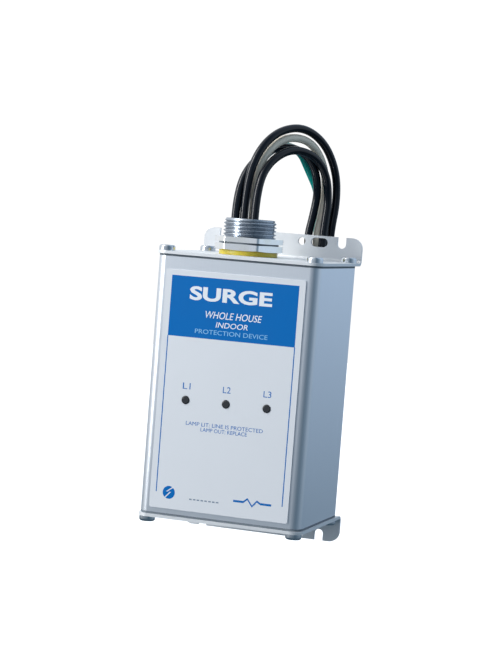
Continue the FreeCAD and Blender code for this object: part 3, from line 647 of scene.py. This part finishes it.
def make_tie(side, finishes):
    """A nylon cable tie round one run of the hank, with its head and tail at the back."""
    low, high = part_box("hank_ties")
    hank_low, hank_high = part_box("lead_hank")
    outer = hank_high.x + TIE_PAST
    middle = Vector((side * (TIE_INNER + outer) / 2, (hank_low.y + hank_high.y) / 2,
                     (low.z + high.z) / 2))
    name = "hank_tie_right" if side > 0 else "hank_tie_left"
    band = tie_band(name, middle, outer - TIE_INNER, hank_high.y - hank_low.y)
    head = tie_head(name + "_head")
    head.location = (middle.x, high.y - HEAD_SIZE.y / 2, middle.z)
    tail = tie_tail(name + "_tail", side)
    tail.location = (middle.x - side * HEAD_SIZE.x / 2, high.y - HEAD_SIZE.y / 2, middle.z)
    for piece in (band, head, tail):
        dress(piece, ENCLOSURE, finishes["tie_nylon"])
    return [band, head, tail]


def make_ties(finishes):
    """Both ties. The right one's band stands for the CAD node of the two."""
    ties = make_tie(1, finishes) + make_tie(-1, finishes)
    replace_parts(ties[0], "hank_ties")
    return ties


# ---------------------------------------------------------------- nipple and nuts

def hex_radius(angle):
    """Distance from a nut's axis to its side, with the corners just broken."""
    turn = (angle - HEX_TURN) % (math.pi / 3) - math.pi / 6
    return min(HEX_FLATS / 2 / math.cos(turn), HEX_FLATS / math.sqrt(3) - HEX_CORNER)


def hex_edge(level, sign, slope=HEX_SLOPE):
    """Where a nut's side meets the cone that turns off its corners, below or above a level."""
    def ring(angle):
        radius = hex_radius(angle)
        return radius, level - sign * ((radius - HEX_FLATS / 2) * slope + HEX_BREAK)
    return ring


def thread_row(height, top):
    """One row of the thread's surface, on a right-hand helix, dying out at the rim."""
    def ring(angle):
        phase = (height / THREAD_PITCH - angle / (2 * math.pi)) % 1
        ridge = min(max((1 - abs(2 * phase - 1) - THREAD_ROOT) / THREAD_SLOPE, 0), 1)
        radius = THREAD_CREST - THREAD_DEPTH * (1 - ridge)
        return min(radius, THREAD_CREST - RIM_DROP + (top - height) * RIM_SLOPE), height
    return ring


def make_nipple(finishes):
    """The nipple: its hexagonal shoulder with the smooth end inside, and its cut thread."""
    low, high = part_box("conduit_nipple")
    washer_low, washer_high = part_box("sealing_washer")
    axis = (washer_low + washer_high) / 2
    shoulder = washer_high.z
    shoulder_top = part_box("locknut_seal")[0].z - SEAL_GAP
    tail = THREAD_CREST - TAIL_SLACK
    rings = [
        circle(NIPPLE_BORE, low.z + EDGE_TURN), circle(NIPPLE_BORE + EDGE_TURN, low.z),
        circle(tail - EDGE_TURN, low.z), circle(tail, low.z + EDGE_TURN), circle(tail, shoulder),
        circle(HEX_FLATS / 2 - SHOULDER_TURN, shoulder), hex_edge(shoulder, -1, SHOULDER_SLOPE),
        hex_edge(shoulder_top, 1), circle(HEX_FLATS / 2 - EDGE_TURN, shoulder_top),
        circle(NIPPLE_BORE, shoulder_top),
    ]
    shoulder_piece = lathe("nipple_shoulder", rings, axis)
    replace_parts(shoulder_piece, "conduit_nipple")
    dress(shoulder_piece, ENCLOSURE, finishes["zinc_plate"])

    step = (high.z - EDGE_TURN - shoulder_top) / THREAD_ROWS
    rings = [thread_row(shoulder_top + step * i, high.z) for i in range(THREAD_ROWS + 1)]
    rings += [circle(NIPPLE_BORE + RIM_WALL, high.z), circle(NIPPLE_BORE + RIM_TURN, high.z),
              circle(NIPPLE_BORE, high.z - RIM_TURN), circle(NIPPLE_BORE, shoulder_top)]
    thread = lathe("nipple_thread", rings, axis, sharp=THREAD_SHARP)
    dress(thread, ENCLOSURE, finishes["cut_zinc"])
    return axis


def make_locknut(finishes, axis):
    """The loose locknut, with its corners turned off and a smooth bore."""
    low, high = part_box("locknut")
    rings = [
        circle(NUT_BORE, low.z + EDGE_TURN), circle(NUT_BORE + EDGE_TURN, low.z),
        circle(HEX_FLATS / 2 - EDGE_TURN, low.z), hex_edge(low.z, -1), hex_edge(high.z, 1),
        circle(HEX_FLATS / 2 - EDGE_TURN, high.z), circle(NUT_BORE + EDGE_TURN, high.z),
        circle(NUT_BORE, high.z - EDGE_TURN),
    ]
    nut = lathe("locknut_chamfered", rings, axis)
    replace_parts(nut, "locknut")
    dress(nut, LOCKNUT, finishes["zinc_plate"])


# ---------------------------------------------------------------- print on the label

def on_label(name, points, faces, layer):
    """A thin closed print, given in millimetres across and up the label, half a layer into it."""
    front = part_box("face_label")[0].y
    back_y = front - layer * INK_THICK + INK_THICK * 0.5
    face_y = front - (layer + 1) * INK_THICK
    count = len(points)
    solid = [(x * MM, face_y, z * MM) for x, z in points]
    solid += [(x * MM, back_y, z * MM) for x, z in points]
    shell = [tuple(f) for f in faces] + [tuple(count + i for i in reversed(f)) for f in faces]
    sides = dict.fromkeys(side for face in faces for side in zip(face, face[1:] + face[:1]))
    shell += [(b, a, count + a, count + b) for a, b in sides if (b, a) not in sides]
    return mesh_object(name, solid, shell)


def outline(name, points, layer=0):
    """A print of one outline."""
    return on_label(name, points, [list(range(len(points)))], layer)


def rectangle(left, right, low, high):
    """Corners of a rectangle."""
    return [(left, low), (right, low), (right, high), (left, high)]


def arc(radius, start, end, steps, centre):
    """Points along an arc between two angles in degrees."""
    turns = [math.radians(start + (end - start) * i / steps) for i in range(steps + 1)]
    return [(centre[0] + radius * math.cos(t), centre[1] + radius * math.sin(t)) for t in turns]


def lettering(name, text, box, bold=0.0, slant=0.0, layer=0):
    """Plain lettering, fitted to a box of left, right, low and high in millimetres."""
    data = bpy.data.curves.new(name, "FONT")
    data.body = text
    data.offset = bold
    data.resolution_u = LETTER_STEPS
    source = link(name + "_source", data)
    bpy.context.view_layer.update()
    flat = bpy.data.meshes.new_from_object(source)
    bpy.data.objects.remove(source)
    xs = [v.co.x for v in flat.vertices]
    ys = [v.co.y for v in flat.vertices]
    left, right, low, high = box
    wide = (right - left) - slant * (high - low)
    points = []
    for vertex in flat.vertices:
        x = (vertex.co.x - min(xs)) / (max(xs) - min(xs))
        y = (vertex.co.y - min(ys)) / (max(ys) - min(ys))
        points.append((left + x * wide + slant * y * (high - low), low + y * (high - low)))
    faces = [list(p.vertices) for p in flat.polygons]
    return on_label(name, points, faces, layer)


def badge():
    """A plain disc with a zigzag left clear through it, as points of its two halves."""
    zigzag = [(0.7, 0.97), (-0.35, 0.12), (0.25, 0.08), (-0.7, -0.97)]
    halves = []
    for side in (-1, 1):
        cut = [(BADGE_CENTRE[0] + (x + side * BADGE_GAP) * BADGE_RADIUS,
                BADGE_CENTRE[1] + y * BADGE_RADIUS) for x, y in zigzag]
        top, foot = [math.degrees(math.atan2(z - BADGE_CENTRE[1], x - BADGE_CENTRE[0]))
                     for x, z in (cut[0], cut[-1])]
        if side > 0:
            rim = arc(BADGE_RADIUS, foot, top, BADGE_STEPS, BADGE_CENTRE)
            halves.append(rim + cut[1:-1])
        else:
            rim = arc(BADGE_RADIUS, top, foot + 360, BADGE_STEPS, BADGE_CENTRE)
            halves.append(rim + cut[-2:0:-1])
    return halves


def surge_mark():
    """A plain wave between two level ends, as points and faces of one stroke."""
    left, right, low, high = WAVE
    middle = (low + high) / 2
    first, second, third = WAVE_PEAKS
    turns = [left + turn for turn in WAVE_TURNS]
    levels = [middle, middle, high - first, low + second, high - third, middle, middle]
    spots = list(zip([left, *turns, right], levels))
    count = len(spots)
    points = [(x, z - WAVE_WEIGHT / 2) for x, z in spots]
    points += [(x, z + WAVE_WEIGHT / 2) for x, z in spots]
    return points, [[i, i + 1, count + i + 1, count + i] for i in range(count - 1)]


def make_print(finishes):
    """Everything printed on the label. What lies on the band is raised to clear it."""
    prints = [("blue_ink", outline("print_band", rectangle(*BAND)))]
    for name, ink, text, box, look in LETTERING:
        layer = OVER_BAND if box[2] > BAND[2] else 0
        prints.append((ink, lettering(name, text, box, layer=layer, **look)))
    width, low, high = LAMP_TEXT
    for i, x in enumerate(LAMP_X):
        box = (x - width / 2, x + width / 2, low, high)
        prints.append(("blue_ink", lettering("print_lamp_%d" % (i + 1), "L%d" % (i + 1), box)))
    for name, x in zip(("left", "right"), SIDE_RULES):
        rule = rectangle(x - SIDE_RULE_WIDTH / 2, x + SIDE_RULE_WIDTH / 2, *SIDE_RULE_Z)
        prints.append(("blue_ink", outline("print_rule_" + name, rule)))
    for name, points in zip(("left", "right"), badge()):
        prints.append(("blue_ink", outline("print_badge_" + name, points)))
    prints.append(("blue_ink", on_label("print_wave", *surge_mark(), 0)))
    width, low, high = DASH
    for i in range(DASHES):
        x = DASH_START + i * DASH_PITCH
        dash = rectangle(x, x + width, low, high)
        prints.append(("grey_ink", outline("print_dash_%d" % (i + 1), dash)))
    for ink, piece in prints:
        dress(piece, ENCLOSURE, finishes[ink])


# ---------------------------------------------------------------- the other CAD nodes

def dress_nodes(finishes):
    """Every CAD node gets its slot's finish, and the ones in view get softened edges."""
    for part in frame["record"]["subparts"]:
        node, slot = part["node"], part["material_slot"]
        piece = frame["nodes"][node]
        piece.data.materials.clear()
        piece.data.materials.append(finishes[slot])
        if node in SOFT_EDGES:
            dress(softened(node, SOFT_EDGES[node] * MM), ENCLOSURE, finishes[slot])


# ---------------------------------------------------------------- stage and light

def make_stage():
    """A plain pale floor well below the object, which throws no light back at it."""
    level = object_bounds()[0].z - FLOOR_DROP
    corners = [(x * FLOOR_HALF, y * FLOOR_HALF, level)
               for x, y in ((-1, -1), (1, -1), (1, 1), (-1, 1))]
    floor = mesh_object("floor", corners, [(0, 1, 2, 3)])
    floor.data.materials.append(surface("floor_paint", (0.93, 0.93, 0.93), 0.8, grain=30,
                                        tint=0.01, bump=0.02, Emission_Color=(1, 1, 1, 1),
                                        Emission_Strength=FLOOR_GLOW))
    floor.visible_glossy = False
    floor.visible_diffuse = False


def make_world():
    """White to the camera, and to the object a studio: bright left, darker and bluer right."""
    world = bpy.data.worlds.new("studio")
    bpy.context.scene.world = world
    world.use_nodes = True
    tree = world.node_tree
    tree.nodes.clear()
    direction = tree.nodes.new("ShaderNodeTexCoord").outputs["Generated"]
    round_the_room = tree.nodes.new("ShaderNodeTexGradient")
    round_the_room.gradient_type = "RADIAL"
    tree.links.new(direction, round_the_room.inputs["Vector"])
    ramp = tree.nodes.new("ShaderNodeValToRGB")
    elements = ramp.color_ramp.elements
    while len(elements) < len(ROOM_STOPS):
        elements.new(0.5)
    for element, (position, colour) in zip(elements, ROOM_STOPS):
        element.position = position
        element.color = (*colour, 1)
    tree.links.new(round_the_room.outputs["Fac"], ramp.inputs["Fac"])

    upright = tree.nodes.new("ShaderNodeSeparateXYZ")
    tree.links.new(direction, upright.inputs["Vector"])
    level = map_range(tree, upright.outputs["Z"], ROOM_HORIZON, (0, 1), "SMOOTHSTEP")
    walls = mix_colours(tree, level, LOW_LIGHT, ramp.outputs["Color"])

    studio = tree.nodes.new("ShaderNodeBackground")
    studio.inputs["Strength"].default_value = ROOM_LIGHT
    tree.links.new(walls, studio.inputs["Color"])
    backdrop = tree.nodes.new("ShaderNodeBackground")
    backdrop.inputs["Color"].default_value = (1, 1, 1, 1)
    backdrop.inputs["Strength"].default_value = BACKDROP_LIGHT
    seen = tree.nodes.new("ShaderNodeLightPath")
    mix = tree.nodes.new("ShaderNodeMixShader")
    tree.links.new(seen.outputs["Is Camera Ray"], mix.inputs["Fac"])
    tree.links.new(studio.outputs["Background"], mix.inputs[1])
    tree.links.new(backdrop.outputs["Background"], mix.inputs[2])
    out = tree.nodes.new("ShaderNodeOutputWorld")
    tree.links.new(mix.outputs["Shader"], out.inputs["Surface"])


def make_lights():
    """Soft rectangular lamps, all aimed at the object."""
    for name, place, size, power in LIGHTS:
        data = bpy.data.lights.new(name, "AREA")
        data.shape = "RECTANGLE"
        data.size, data.size_y = size
        data.energy = power
        lamp = link(name, data)
        lamp.location = place
        turn = (Vector(LIGHT_AIM) - Vector(place)).to_track_quat("-Z", "Y")
        lamp.rotation_euler = turn.to_euler()


bpy.context.scene.view_settings.view_transform = "Standard"
make_camera()
finishes = make_materials()
dress_nodes(finishes)
make_leads(finishes, make_ties(finishes))
nipple_axis = make_nipple(finishes)
make_locknut(finishes, nipple_axis)
make_print(finishes)
make_stage()
make_world()
make_lights()
